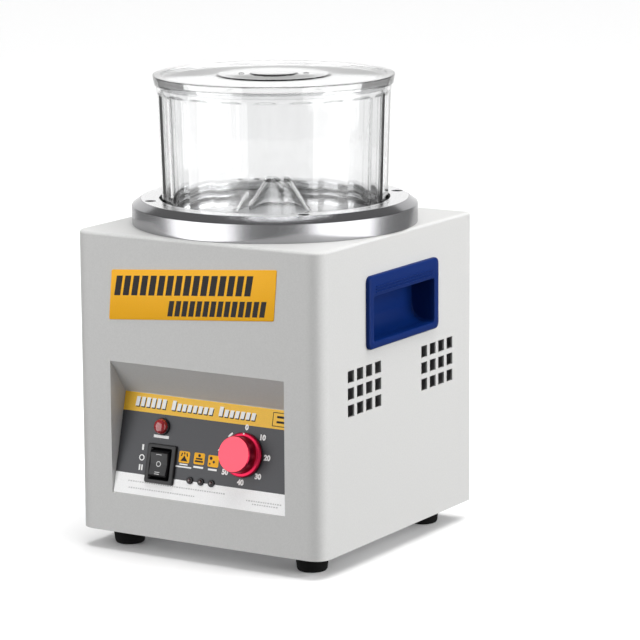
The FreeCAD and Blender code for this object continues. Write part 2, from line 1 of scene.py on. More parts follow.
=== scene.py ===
import bpy
import bmesh
import json
import math
from mathutils import Matrix, Vector


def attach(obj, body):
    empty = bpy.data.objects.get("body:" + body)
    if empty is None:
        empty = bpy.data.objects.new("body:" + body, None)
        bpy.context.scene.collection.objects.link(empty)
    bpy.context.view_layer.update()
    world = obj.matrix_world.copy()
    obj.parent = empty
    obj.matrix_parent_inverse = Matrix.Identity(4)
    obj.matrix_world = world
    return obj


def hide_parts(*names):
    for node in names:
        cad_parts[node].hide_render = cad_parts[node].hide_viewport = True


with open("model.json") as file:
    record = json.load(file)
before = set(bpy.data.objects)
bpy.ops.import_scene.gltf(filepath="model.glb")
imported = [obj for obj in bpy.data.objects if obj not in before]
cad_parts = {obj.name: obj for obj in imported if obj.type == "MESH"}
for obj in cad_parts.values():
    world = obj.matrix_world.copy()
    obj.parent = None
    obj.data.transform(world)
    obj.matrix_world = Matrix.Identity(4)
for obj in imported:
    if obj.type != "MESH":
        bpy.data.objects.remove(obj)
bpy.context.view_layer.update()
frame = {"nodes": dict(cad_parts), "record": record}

MM = 0.001

# The leaning control panel: the y and z of its foot and top, its lean from the vertical, and its frame,
# whose x runs across the panel, y up it and z straight out of it
PANEL_FOOT = (-122.3, 50.0)
PANEL_TOP = (-101.6, 133.4)
LEAN = math.atan2(PANEL_TOP[0] - PANEL_FOOT[0], PANEL_TOP[1] - PANEL_FOOT[1])
PANEL = Matrix.Translation((0, PANEL_FOOT[0], PANEL_FOOT[1])) @ Matrix.Rotation(math.pi / 2 - LEAN, 4, "X")
# On the panel: the film's thickness, its bands' edges, and the middles of the controls, from its foot
FILM = 0.5
WHITE_BAND_TOP, YELLOW_STRIP_LOW = 18.0, 69.8
LAMP = (-43.5, 59.6)
SWITCH = (-40.2, 28.6)
STATUS = [(-10.3, 18.6), (0.4, 18.6), (10.8, 18.6)]
TIMER = (38.5, 45.2)

# The y of the front wall and of the middle of the side grips
FRONT = -123.3
SIDE_CENTRE = 4.3


# ---------------------------------------------------------------- mesh helpers
def put(name, data):
    """A new object in the scene that shows the given mesh, curve, light or camera."""
    obj = bpy.data.objects.new(name, data)
    bpy.context.scene.collection.objects.link(obj)
    return obj


def turn_outward(mesh, weld=False):
    """Point a closed mesh's faces outward, and weld its doubled vertices if asked."""
    bm = bmesh.new()
    bm.from_mesh(mesh)
    if weld:
        bmesh.ops.remove_doubles(bm, verts=bm.verts, dist=1e-7)
    bmesh.ops.recalc_face_normals(bm, faces=bm.faces)
    bm.to_mesh(mesh)
    bm.free()


def piece(name, verts, faces, material, body, slot, place=None, sharp=32.0, stands_for=()):
    """A mesh piece given in millimetres, placed, shaded smooth up to a sharp angle, and riding on a body."""
    matrix = Matrix.Scale(MM, 4) @ (place or Matrix.Identity(4))
    mesh = bpy.data.meshes.new(name)
    mesh.from_pydata([matrix @ Vector(v) for v in verts], [], faces)
    turn_outward(mesh, weld=True)
    mesh.polygons.foreach_set("use_smooth", [True] * len(mesh.polygons))
    mesh.set_sharp_from_angle(angle=math.radians(sharp))
    mesh.materials.append(material)
    obj = put(name, mesh)
    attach(obj, body)
    if stands_for:
        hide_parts(*stands_for)
    return obj


def softened(points, radii, steps=4, closed=True):
    """A 2D outline with its corners rounded, each by up to its own radius."""
    count = len(points)
    out = []
    for i, p in enumerate(points):
        if (not closed and i in (0, count - 1)) or radii[i] <= 0:
            out.append(p)
            continue
        p = Vector(p)
        a = Vector(points[i - 1]) - p
        b = Vector(points[(i + 1) % count]) - p
        reach = min(radii[i], 0.45 * a.length, 0.45 * b.length)
        start, end = p + a.normalized() * reach, p + b.normalized() * reach
        for k in range(steps + 1):
            t = k / steps
            q = start * (1 - t) ** 2 + p * 2 * t * (1 - t) + end * t ** 2
            out.append((q.x, q.y))
    return out


def lathe(profile, segments, closed=True):
    """Vertices and faces of a profile of (radius, height) turned about Z."""
    verts, faces, rings = [], [], []
    for r, z in profile:
        if r < 1e-6:
            rings.append([len(verts)])
            verts.append((0, 0, z))
        else:
            rings.append(list(range(len(verts), len(verts) + segments)))
            for k in range(segments):
                a = 2 * math.pi * k / segments
                verts.append((r * math.cos(a), r * math.sin(a), z))
    pairs = list(zip(rings, rings[1:]))
    if closed and len(rings[0]) > 1 and len(rings[-1]) > 1:
        pairs.append((rings[-1], rings[0]))
    for lower, upper in pairs:
        for k in range(segments):
            n = (k + 1) % segments
            face = [lower[k % len(lower)], lower[n % len(lower)],
                    upper[n % len(upper)], upper[k % len(upper)]]
            face = list(dict.fromkeys(face))
            if len(face) > 2:
                faces.append(face)
    return verts, faces


def stack(loops, cap_start=True, cap_end=True):
    """Vertices and faces lofted through loops of 3D points, all with the same count."""
    count = len(loops[0])
    verts = [p for loop in loops for p in loop]
    faces = []
    for a in range(len(loops) - 1):
        b = a + 1
        for k in range(count):
            n = (k + 1) % count
            faces.append([a * count + k, a * count + n, b * count + n, b * count + k])
    if cap_start:
        faces.append(list(range(count))[::-1])
    if cap_end:
        faces.append([(len(loops) - 1) * count + k for k in range(count)])
    return verts, faces


def rounded_rect(width, height, radius, steps, x=0.0, y=0.0):
    """A rounded rectangle's outline, always with the same number of points for the same steps."""
    out = []
    for cx, cy, start in ((1, 1, 0), (-1, 1, 90), (-1, -1, 180), (1, -1, 270)):
        for k in range(steps + 1):
            a = math.radians(start + 90.0 * k / steps)
            out.append((x + cx * (width / 2 - radius) + radius * math.cos(a),
                        y + cy * (height / 2 - radius) + radius * math.sin(a)))
    return out


def at_height(outline, z):
    return [(x, y, z) for x, y in outline]


def joined(parts):
    """Several (vertices, faces) as one."""
    verts, faces = [], []
    for v, f in parts:
        base = len(verts)
        verts += list(v)
        faces += [[i + base for i in face] for face in f]
    return verts, faces


def moved(part, matrix):
    return [tuple(matrix @ Vector(v)) for v in part[0]], part[1]


def shift(x, y, z=0.0):
    return Matrix.Translation((x, y, z))


def prism(outline, low, high):
    """A thin solid between two heights; a height may be a number or a function of x and y."""
    low_at = low if callable(low) else (lambda x, y: low)
    high_at = high if callable(high) else (lambda x, y: high)
    return stack([[(x, y, low_at(x, y)) for x, y in outline],
                  [(x, y, high_at(x, y)) for x, y in outline]])


def bar(x0, x1, y0, y1, slant=0.0):
    return [(x0, y0), (x1, y0), (x1 + slant, y1), (x0 + slant, y1)]


def around(x, y, radius, angle):
    return x + radius * math.cos(angle), y + radius * math.sin(angle)


def disc(x, y, radius, steps=24):
    return [around(x, y, radius, 2 * math.pi * k / steps) for k in range(steps)]


def ring_bars(x, y, radius, width, steps=28):
    """A ring drawn as quads, for marks that need a hole."""
    inner, outer = radius - width / 2, radius + width / 2
    out = []
    for k in range(steps):
        a, b = 2 * math.pi * k / steps, 2 * math.pi * (k + 1) / steps
        out.append([around(x, y, inner, a), around(x, y, outer, a),
                    around(x, y, outer, b), around(x, y, inner, b)])
    return out


# ---------------------------------------------------------------- materials
def blank(name):
    material = bpy.data.materials.new(name)
    material.use_nodes = True
    tree = material.node_tree
    return material, tree, tree.nodes["Principled BSDF"]


def add(tree, kind, inputs=(), **settings):
    node = tree.nodes.new(kind)
    for key, value in settings.items():
        setattr(node, key, value)
    for key, value in dict(inputs).items():
        node.inputs[key].default_value = value
    return node


def coordinates(tree, scale=(1, 1, 1), centre=None):
    """Object coordinates, scaled; or, with a centre, measured from that spot on the leaning panel."""
    link = tree.links.new
    source = add(tree, "ShaderNodeTexCoord").outputs["Object"]
    if centre is not None:
        spot = PANEL @ Vector((centre[0], centre[1], 0))
        placed = {"Location": spot * MM, "Rotation": (math.pi / 2 - LEAN, 0, 0)}
        local = add(tree, "ShaderNodeMapping", placed, vector_type="TEXTURE")
        link(source, local.inputs["Vector"])
        source = local.outputs["Vector"]
    mapping = add(tree, "ShaderNodeMapping", {"Scale": scale})
    link(source, mapping.inputs["Vector"])
    return mapping.outputs["Vector"]


def grained(name, color, roughness, metallic=0.0, grain=900.0, tint=0.05, spread=0.06, bump=0.02,
            stretch=(1, 1, 1), detail=3.0, polar=False, centre=None, sockets=None):
    """A Principled material whose colour, roughness and bump vary with a fine noise.

    grain is cells per metre and bump a height in millimetres. polar runs the grain in circles about
    the object's axis, or about centre on the panel. sockets are uniform values of the shader."""
    material, tree, shader = blank(name)
    link = tree.links.new
    vector = coordinates(tree, stretch, centre)
    if polar:
        flat = add(tree, "ShaderNodeVectorMath", {1: (1, 1, 0)}, operation="MULTIPLY")
        link(vector, flat.inputs[0])
        length = add(tree, "ShaderNodeVectorMath", operation="LENGTH")
        link(flat.outputs[0], length.inputs[0])
        parts = add(tree, "ShaderNodeSeparateXYZ")
        link(vector, parts.inputs[0])
        joint = add(tree, "ShaderNodeCombineXYZ")
        link(length.outputs["Value"], joint.inputs[0])
        link(parts.outputs[2], joint.inputs[2])
        vector = joint.outputs[0]
    noise = add(tree, "ShaderNodeTexNoise", {"Scale": grain, "Detail": detail, "Roughness": 0.6})
    link(vector, noise.inputs["Vector"])
    value = noise.outputs["Fac"]
    dark = [c * (1 - tint) for c in color] + [1]
    light = [min(1, c * (1 + tint)) for c in color] + [1]
    ramp = add(tree, "ShaderNodeValToRGB")
    ramp.color_ramp.elements[0].position = 0.3
    ramp.color_ramp.elements[0].color = dark
    ramp.color_ramp.elements[1].position = 0.7
    ramp.color_ramp.elements[1].color = light
    link(value, ramp.inputs["Fac"])
    link(ramp.outputs["Color"], shader.inputs["Base Color"])
    span = add(tree, "ShaderNodeMapRange", {"From Min": 0.3, "From Max": 0.7,
                                            "To Min": max(0.02, roughness - spread),
                                            "To Max": min(1.0, roughness + spread)})
    link(value, span.inputs["Value"])
    link(span.outputs["Result"], shader.inputs["Roughness"])
    if bump > 0:
        relief = add(tree, "ShaderNodeBump", {"Strength": 1.0, "Distance": bump * MM})
        link(value, relief.inputs["Height"])
        link(relief.outputs["Normal"], shader.inputs["Normal"])
    shader.inputs["Metallic"].default_value = metallic
    for key, amount in (sockets or {}).items():
        shader.inputs[key].default_value = amount
    return material


def radial_tangent(material):
    tree = material.node_tree
    tangent = add(tree, "ShaderNodeTangent", direction_type="RADIAL", axis="Z")
    tree.links.new(tangent.outputs["Tangent"], tree.nodes["Principled BSDF"].inputs["Tangent"])


PAINT = (0.56, 0.56, 0.553)
grey_paint = grained("grey_paint", PAINT, 0.46, grain=700, tint=0.04, spread=0.05, bump=0.03, detail=5,
                     sockets={"Specular IOR Level": 0.40})
collar_side = grained("turned_aluminium", (0.38, 0.38, 0.39), 0.24, 1.0, grain=5200, tint=0.05, spread=0.04,
                      bump=0.0015, sockets={"Anisotropic": 0.6})
radial_tangent(collar_side)
# The collar's chamfer and top face are darker and lighter copies of its aluminium: painted shade on the
# chamfer, painted light on the top face
chamfer_painted_shade = grained("polished_chamfer_painted_shade", (0.30, 0.30, 0.31), 0.16, 1.0, grain=2600, tint=0.12, spread=0.04,
                      bump=0.003, polar=True)
top_face_painted_light = grained("faced_aluminium_painted_light", (0.86, 0.86, 0.865), 0.26, 1.0, grain=2600, tint=0.06, spread=0.05,
                      bump=0.003, polar=True)
plain_steel = grained("bare_steel", (0.55, 0.55, 0.56), 0.32, 1.0, grain=1400, tint=0.08, bump=0.004)
deck_metal = grained("deck_metal", (0.82, 0.82, 0.83), 0.34, 1.0, grain=2200, tint=0.08, bump=0.004,
                     polar=True)
cast_metal = grained("cast_aluminium", (0.58, 0.58, 0.59), 0.45, 1.0, grain=1100, tint=0.10, bump=0.03)
dull = {"Specular IOR Level": 0.2}
black_screw = grained("black_screw", (0.006, 0.006, 0.007), 0.42, 0.0, grain=1500, tint=0.2, bump=0.006,
                      sockets=dull)
rubber = grained("black_rubber", (0.005, 0.005, 0.005), 0.80, grain=1800, tint=0.25, spread=0.08, bump=0.03,
                 sockets={"Specular IOR Level": 0.08})
black_plastic = grained("black_plastic", (0.005, 0.005, 0.006), 0.36, grain=2600, tint=0.2, spread=0.06,
                        bump=0.012, sockets={"Specular IOR Level": 0.30})
blue_plastic = grained("blue_plastic", (0.002, 0.017, 0.112), 0.42, grain=2400, tint=0.10, spread=0.06,
                       bump=0.016, sockets={"Specular IOR Level": 0.10})
grey_plastic = grained("grey_plastic", (0.45, 0.45, 0.44), 0.5, grain=1600, tint=0.06, bump=0.02)
bronze = grained("bronze", (0.42, 0.27, 0.12), 0.4, 1.0, grain=3000, tint=0.15, bump=0.01)
laminations = grained("laminations", (0.22, 0.22, 0.24), 0.42, 0.9, grain=2000, tint=0.2, bump=0.02,
                      stretch=(0.05, 0.05, 1.0))
copper = grained("copper", (0.48, 0.18, 0.07), 0.35, 0.8, grain=900, tint=0.2, bump=0.06)
lead_sleeve = grained("lead_sleeve", (0.16, 0.06, 0.03), 0.5, grain=1500, tint=0.1, bump=0.01)
brass = grained("brass", (0.62, 0.46, 0.20), 0.3, 1.0, grain=2000, tint=0.1, bump=0.004)
nickel = grained("magnet_nickel", (0.62, 0.61, 0.60), 0.14, 1.0, grain=1200, tint=0.05, bump=0.003)
yellow_print = grained("yellow_print", (0.93, 0.455, 0.004), 0.50, grain=1300, tint=0.04, spread=0.05,
                       bump=0.006, sockets=dull)
black_print = grained("black_print", (0.006, 0.005, 0.005), 0.55, grain=1300, tint=0.15, bump=0.004,
                      sockets=dull)
white_print = grained("white_print", (0.84, 0.84, 0.83), 0.45, grain=1300, tint=0.03, bump=0.004)
grey_print = grained("grey_print", (0.56, 0.56, 0.56), 0.45, grain=1300, tint=0.05, bump=0.004)
red_metal = grained("red_anodised", (0.42, 0.006, 0.040), 0.30, 0.80, grain=5200, tint=0.10, spread=0.05,
                    bump=0.004, polar=True, centre=TIMER)
# A lighter copy of the knob's red anodising for its face: painted light on the face that looks out of the
# panel
knob_face_painted_light = grained("red_anodised_face_painted_light", (0.92, 0.070, 0.115), 0.45, 0.30, grain=5200, tint=0.10, spread=0.06,
                   bump=0.006, polar=True, centre=TIMER)
red_lens = grained("red_lens", (0.42, 0.010, 0.018), 0.12, grain=500, tint=0.25, spread=0.02, bump=0.004,
                   sockets={"Coat Weight": 0.6, "Coat Roughness": 0.05, "Transmission Weight": 0.15})
dark_lens = grained("smoked_lens", (0.035, 0.004, 0.006), 0.12, grain=500, tint=0.3, spread=0.02, bump=0.003,
                    sockets={"Coat Weight": 0.6, "Coat Roughness": 0.05})
# Clear moulded plastic: glassy, with faint flow lines in its surface
clear = grained("clear_plastic", (0.900, 0.903, 0.905), 0.03, grain=70, tint=0.012, spread=0.012, bump=0.02,
                stretch=(1, 1, 0.3), detail=2, sockets={"Transmission Weight": 1.0, "IOR": 1.49})


def printed_film():
    """The panel's film: a white band below, a dark field, a yellow strip above, told apart by height."""
    material, tree, shader = blank("overlay_print")
    link = tree.links.new
    vector = coordinates(tree)
    parts = add(tree, "ShaderNodeSeparateXYZ")
    link(vector, parts.inputs[0])
    noise = add(tree, "ShaderNodeTexNoise", {"Scale": 1500.0, "Detail": 3.0})
    link(vector, noise.inputs["Vector"])

    def above(v):
        height = (PANEL_FOOT[1] + v * math.cos(LEAN)) * MM
        test = add(tree, "ShaderNodeMath", {1: height}, operation="GREATER_THAN")
        link(parts.outputs[2], test.inputs[0])
        return test.outputs[0]

    def mixed(low, high, factor):
        mix = add(tree, "ShaderNodeMix", data_type="RGBA")
        for socket, value in ((mix.inputs["A"], low), (mix.inputs["B"], high)):
            if isinstance(value, tuple):
                socket.default_value = (*value, 1)
            else:
                link(value, socket)
        link(factor, mix.inputs["Factor"])
        return mix.outputs["Result"]

    def spanned(low, high):
        span = add(tree, "ShaderNodeMapRange", {"From Min": 0.3, "From Max": 0.7,
                                                "To Min": low, "To Max": high})
        link(noise.outputs["Fac"], span.inputs["Value"])
        return span.outputs["Result"]

    white, dark, yellow = (0.93, 0.93, 0.93), (0.046, 0.047, 0.052), (0.90, 0.52, 0.030)
    color = mixed(mixed(white, dark, above(WHITE_BAND_TOP)), yellow, above(YELLOW_STRIP_LOW))
    toned = add(tree, "ShaderNodeVectorMath", operation="SCALE")
    link(color, toned.inputs[0])
    link(spanned(0.94, 1.06), toned.inputs["Scale"])
    link(toned.outputs[0], shader.inputs["Base Color"])
    link(spanned(0.36, 0.46), shader.inputs["Roughness"])
    relief = add(tree, "ShaderNodeBump", {"Distance": 0.01 * MM})
    link(noise.outputs["Fac"], relief.inputs["Height"])
    link(relief.outputs["Normal"], shader.inputs["Normal"])
    shader.inputs["Specular IOR Level"].default_value = 0.3
    return material


film_print = printed_film()

SLOT_LOOKS = {
    "grey_paint": grey_paint, "bare_steel": plain_steel, "black_screw": black_screw,
    "turned_aluminium": cast_metal, "black_rubber": rubber, "clear_plastic": clear,
    "overlay_print": film_print, "yellow_print": yellow_print, "blue_plastic": blue_plastic,
    "black_plastic": black_plastic, "red_lens": red_lens, "smoked_lens": dark_lens,
    "red_anodised": red_metal, "steel_shaft": plain_steel, "magnet_nickel": nickel, "bronze": bronze,
    "laminations": laminations, "copper": copper, "grey_plastic": grey_plastic,
    "lead_sleeve": lead_sleeve, "brass": brass,
}
for row in frame["record"]["subparts"]:
    node = frame["nodes"][row["node"]]
    node.data.materials.clear()
    node.data.materials.append(SLOT_LOOKS[row["material_slot"]])
frame["nodes"]["deck_plate"].data.materials[0] = deck_metal

# ---------------------------------------------------------------- collar
COLLAR_LOW, COLLAR_EDGE, COLLAR_TOP = 269.0, 284.6, 290.1
COLLAR_BORE, COLLAR_TOP_RADIUS, COLLAR_RADIUS = 96.8, 112.2, 120.0
collar_profile = softened(
    [(COLLAR_BORE, 276.8), (COLLAR_BORE, COLLAR_TOP), (COLLAR_TOP_RADIUS, COLLAR_TOP),
     (COLLAR_RADIUS, COLLAR_EDGE), (COLLAR_RADIUS, COLLAR_LOW), (102.0, COLLAR_LOW), (102.0, 276.8)],
    [0.2, 0.9, 0.45, 0.6, 0.5, 0.2, 0.2])
SCREW_REACH, SINK_RADIUS = 75.0, 4.8
SCREWS = [(sx * SCREW_REACH, sy * SCREW_REACH) for sx in (-1, 1) for sy in (-1, 1)]
collar = piece("collar_turned", *lathe(collar_profile, 288), collar_side, "housing", "turned_aluminium",
               sharp=28, stands_for=["collar_ring"])
sink_profile = [(0, 2.0), (4.75, 2.0), (4.75, -0.3), (2.6, -2.5), (2.6, -9.0), (0, -9.0)]
sinks = bpy.data.meshes.new("sinks")
sink_verts, sink_faces = joined([moved(lathe(sink_profile, 40, closed=False), shift(x, y, COLLAR_TOP))
                                 for x, y in SCREWS])
sinks.from_pydata([Vector(v) * MM for v in sink_verts], [], sink_faces)
turn_outward(sinks)
cutter = put("sinks", sinks)
cut = collar.modifiers.new("sinks", "BOOLEAN")
cut.object, cut.operation, cut.solver = cutter, "DIFFERENCE", "EXACT"
bpy.context.view_layer.update()
cut_mesh = bpy.data.meshes.new_from_object(collar.evaluated_get(bpy.context.evaluated_depsgraph_get()))
collar.modifiers.clear()
collar.data = cut_mesh
CONE_SHADE_LOOK, FACE_LIGHT_LOOK, SINK_SHADE_LOOK = 1, 2, 3
for look in (chamfer_painted_shade, top_face_painted_light, black_screw):
    collar.data.materials.append(look)
# Faces are toned by their direction: the chamfer gets the painted shade, the top face and the bore get the
# painted light
for face in collar.data.polygons:
    radius = face.center.xy.length / MM
    if 0.35 < face.normal.z < 0.95 and COLLAR_TOP_RADIUS - 0.6 < radius < COLLAR_RADIUS + 0.1:
        face.material_index = CONE_SHADE_LOOK
    elif radius < COLLAR_TOP_RADIUS and face.center.z / MM > COLLAR_EDGE - 9.0:
        face.material_index = FACE_LIGHT_LOOK
    # The sinks' aluminium walls take the black screw look: painted shade in the holes round the screws
    if any((face.center.xy / MM - Vector(spot)).length < SINK_RADIUS for spot in SCREWS):
        face.material_index = SINK_SHADE_LOOK
bpy.data.objects.remove(cutter)

# ---------------------------------------------------------------- bowl
BOWL_BASE, BOWL_RIM, BOWL_SKIRT = 276.1, 388.1, 382.5
BOWL_FLOOR, BOWL_BEVEL = BOWL_BASE + 3.2, BOWL_BASE + 4.0
FACETS, FACET_PHASE = 21, -53.2
# From this height up the facets run out in a curve, this steep; their edges are this soft
FACET_STOP, FACET_RUN, FACET_SOFT = 377.2, 0.095, 0.22


def wall_radius(z):
    """The cone that the bowl's wall is cut from, a little wider at the top."""
    return 95.25 + (z - 290.0) * 0.03106


def bowl_outer(angle, z):
    """The bowl's outside: a cone cut by flat facets, which run out towards the rim."""
    pitch = 2 * math.pi / FACETS
    local = (angle - math.radians(FACET_PHASE)) % pitch - pitch / 2
    cone = wall_radius(min(z, BOWL_SKIRT)) - max(0.0, BOWL_BEVEL - z) * 0.5
    flat = wall_radius(z) * math.cos(pitch / 2) + FACET_RUN * max(0.0, z - FACET_STOP) ** 2
    facet = flat / math.cos(local)
    low = min(cone, facet)
    blend = math.exp((low - cone) / FACET_SOFT) + math.exp((low - facet) / FACET_SOFT)
    return low - FACET_SOFT * math.log(blend)


def ring_at(radius, z):
    """A loop round the bowl at one height; the radius may be a function of the angle and the height."""
    radius_at = radius if callable(radius) else (lambda a, z: radius)
    return [(*around(0, 0, radius_at(a, z), a), z) for a in turns]


# Each facet's points crowd towards its edges, where the wall bends
per_facet = 30
crowding = [k / per_facet - 0.65 * math.sin(2 * math.pi * k / per_facet) / (2 * math.pi)
            for k in range(per_facet)]
turns = [2 * math.pi * (facet + part) / FACETS + math.radians(FACET_PHASE)
         for facet in range(FACETS) for part in crowding]
heights = [BOWL_BASE + t for t in (0.0, 1.0, 2.5, 4.0)]
heights += [BOWL_BEVEL + (FACET_STOP - BOWL_BEVEL) * k / 12 for k in range(1, 13)]
heights += [FACET_STOP + 0.28 * k for k in range(1, 18)]
heights += [BOWL_SKIRT, 384.0, 385.6, 386.8, 387.6]
under_profile = [(8.0, BOWL_BASE + 26.0), (29.4, BOWL_BASE + 1.2), (31.5, BOWL_BASE), (60.0, BOWL_BASE)]
inner_profile = [(97.9, BOWL_RIM), (95.9, BOWL_RIM), (95.3, BOWL_RIM - 0.6), (95.1, 380.0), (94.2, 350.0),
                 (93.3, 318.0), (92.6, BOWL_FLOOR + 6.0), (92.0, BOWL_FLOOR + 3.4), (90.4, BOWL_FLOOR + 1.2),
                 (87.6, BOWL_FLOOR), (60.0, BOWL_FLOOR), (35.0, BOWL_FLOOR), (32.6, BOWL_FLOOR + 0.6),
                 (31.0, BOWL_FLOOR + 2.2), (11.4, BOWL_FLOOR + 23.6), (9.6, BOWL_FLOOR + 25.6),
                 (7.6, BOWL_FLOOR + 26.8), (5.0, BOWL_FLOOR + 27.1)]
loops = [ring_at(r, z) for r, z in under_profile]
loops += [ring_at(bowl_outer, z) for z in heights]
loops += [ring_at(r, z) for r, z in inner_profile]
piece("bowl_clear", *stack(loops), clear, "bowl", "clear_plastic", sharp=9.0, stands_for=["bowl"])

# ---------------------------------------------------------------- lid
LID_PLUG, LID_UNDER, LID_RIM, LID_BOSS = 382.2, 388.2, 393.3, 394.2
LID_FIELD, LID_STEP = LID_RIM - 1.1, LID_BOSS - 1.0
lid_profile = softened(
    [(0, LID_UNDER), (92.0, LID_UNDER), (92.2, LID_PLUG), (94.0, LID_PLUG), (94.3, LID_UNDER),
     (99.0, LID_UNDER), (99.0, 385.6), (99.9, 385.6), (101.1, LID_RIM - 1.2),
     (101.1, LID_RIM), (94.9, LID_RIM), (93.8, LID_FIELD), (48.0, LID_FIELD), (46.6, LID_STEP),
     (20.5, LID_STEP), (19.4, LID_BOSS), (0, LID_BOSS)],
    [0, 0.8, 0.5, 0.5, 0.4, 0.3, 0.3, 0.3, 0.6, 1.0, 1.2, 1.0, 0.6, 0.6, 0.4, 0.4, 0], closed=False)
lid_mesh = [lathe(lid_profile, 256, closed=False)]
STUD_TURN, STUD_REACH = math.radians(31.0), 27.0
stud_profile = [(0, LID_STEP - 0.2), (2.2, LID_STEP - 0.2), (2.2, LID_STEP + 0.5), (1.7, LID_STEP + 0.8),
                (0, LID_STEP + 0.9)]
for side in (-1, 1):
    spot = shift(*around(0, 0, side * STUD_REACH, STUD_TURN))
    lid_mesh.append(moved(lathe(stud_profile, 32, closed=False), spot))
piece("lid_clear", *joined(lid_mesh), clear, "lid", "clear_plastic", sharp=30, stands_for=["lid"])

# ---------------------------------------------------------------- feet
foot_profile = softened([(2.3, 4.5), (5.5, 4.5), (5.5, 0), (11.6, 0), (12.6, 1.6), (14.3, 15.4), (14.3, 17.9),
                         (2.3, 17.9)], [0.2, 0.3, 0.5, 0.8, 1.2, 0.6, 0.3, 0.2])
feet = [moved(lathe(foot_profile, 72), shift(x, y)) for x in (-90.6, 90.6) for y in (-91.0, 91.0)]
piece("rubber_feet", *joined(feet), rubber, "housing", "black_rubber", stands_for=["feet"])

# ---------------------------------------------------------------- front label
LABEL_WIDTH, LABEL_HEIGHT = 160.9, 42.0
LABEL_RISE, LABEL_LEAN = 13.2 / LABEL_WIDTH, 3.5 / LABEL_HEIGHT
LABEL_X, LABEL_Z = -2.6, 224.8
front_wall = Matrix(((1, 0, 0, LABEL_X), (0, 0, -1, FRONT), (0, 1, 0, LABEL_Z), (0, 0, 0, 1)))
label_place = front_wall @ Matrix(((1, LABEL_LEAN, 0, 0), (LABEL_RISE, 1, 0, 0), (0, 0, 1, 0), (0, 0, 0, 1)))
plate = rounded_rect(LABEL_WIDTH, LABEL_HEIGHT, 1.4, 5)
inner_plate = rounded_rect(LABEL_WIDTH - 0.4, LABEL_HEIGHT - 0.4, 1.2, 5)
label = stack([at_height(plate, 0.0), at_height(plate, 0.45), at_height(inner_plate, 0.55)])
piece("label_plate", *label, yellow_print, "housing", "yellow_print", place=label_place,
      stands_for=["nameplate"])


def bar_row(start, cells, pitch, low, high, lean, widths):
    """A row of slanted bars that stands in for a word: two bars to a letter's cell."""
    out = []
    for k in range(cells):
        x = start + k * pitch
        for offset, width in zip((0, pitch * 0.5), widths):
            out.append(bar(x + offset, x + offset + width, low, high, lean))
    return out


bars = bar_row(-76.5, 8, 17.0, -0.6, 16.0, 1.8, (6.0, 6.0))
bars += bar_row(-22.5, 7, 13.7, -17.9, -5.0, 1.4, (4.9, 4.9))
piece("label_bars", *joined([prism(b, 0.54, 0.59) for b in bars]), black_print, "housing", "yellow_print",
      place=label_place)

# ---------------------------------------------------------------- print on the panel
film_top = FILM + 0.01
ink_top = FILM + 0.07
words = []
start = -73.0
for letters, low_letter in ((6, 8.0), (8, 6.0), (7, 6.0)):
    for k in range(letters):
        words.append(bar(start, start + 3.6, 74.2, 74.2 + (8.0 if k == 0 else low_letter), 0.9))
        start += 5.25
    start += 4.6
shadow_words = [[(x + 0.8, y - 0.9) for x, y in outline] for outline in words]
captions = [bar(-51.0, -36.0, 50.0, 52.4)]
captions += [bar(-26.5, -10.5, 28.2, 29.4), bar(-22.5, -14.5, 30.4, 31.4)]
captions += [bar(-8.6, 1.0, 29.4, 31.0), bar(5.8, 14.4, 29.0, 30.6)]
captions += [bar(-61.2, -59.4, 38.2, 43.0)]
captions += ring_bars(-60.3, 32.0, 2.2, 0.9)
captions += [bar(-62.2, -60.8, 21.4, 26.2), bar(-59.8, -58.4, 21.4, 26.2)]
# The dial runs clockwise from straight up: seven numbers, then a line at the last stop
DIAL_NUMBERS, DIAL_LINE = 22.6, 21.0
dial_turns = [math.radians(45.0 * k) for k in range(8)]
tick = dial_turns[7]
along = Vector((math.cos(tick), -math.sin(tick)))
out_way = Vector((math.sin(tick), math.cos(tick)))
tick_spot = Vector(TIMER) + out_way * DIAL_LINE
captions.append([tuple(tick_spot + along * a + out_way * b) for a, b in bar(-2.6, 2.6, -0.8, 0.8)])
white_marks = joined([prism(o, film_top + 0.03, ink_top) for o in words + captions])
piece("panel_white_print", *white_marks, white_print, "housing", "overlay_print", place=PANEL)
piece("panel_word_shadow", *joined([prism(o, film_top, film_top + 0.03) for o in shadow_words]), black_print,
      "housing", "overlay_print", place=PANEL)
fine_rows = []
for v, x, x_end in ((11.6, -71.0, 24.0), (6.0, -70.0, -5.0), (9.0, 46.0, 80.0), (6.6, 52.0, 76.0)):
    k = 0
    while x < x_end:
        width = 1.2 + 0.7 * ((k * 7) % 4) / 3
        fine_rows.append(bar(x, x + width, v - 0.55, v + 0.55, 0.2))
        x += width + 0.75
        k += 1
piece("panel_fine_print", *joined([prism(o, film_top, ink_top) for o in fine_rows]), grey_print, "housing",
      "overlay_print", place=PANEL)
mark_box = [bar(62.0, 80.0, 82.6, 83.2), bar(62.0, 80.0, 71.6, 72.2), bar(62.0, 62.6, 72.2, 82.6),
            bar(79.4, 80.0, 72.2, 82.6), bar(66.0, 76.0, 78.6, 80.4), bar(66.0, 76.0, 74.4, 76.2)]
icon_spots = [(-18.5, 37.0), (-3.8, 37.3), (10.1, 36.8)]
icon_faces = [rounded_rect(10.4, 9.6, 1.3, 4, x, v) for x, v in icon_spots]
piece("panel_icon_fields", *joined([prism(o, film_top, ink_top) for o in icon_faces]), yellow_print,
      "housing", "overlay_print", place=PANEL)
ix, iv = icon_spots[0]
icon_marks = [[(ix - 3.4, iv - 3.4), (ix + 3.4, iv - 3.4), (ix, iv + 1.4)]]
icon_marks += [bar(ix - 3.6, ix - 2.4, iv + 0.6, iv + 3.4, 0.8), bar(ix - 0.6, ix + 0.6, iv + 2.2, iv + 4.0),
               bar(ix + 2.4, ix + 3.6, iv + 0.6, iv + 3.4, -0.8)]
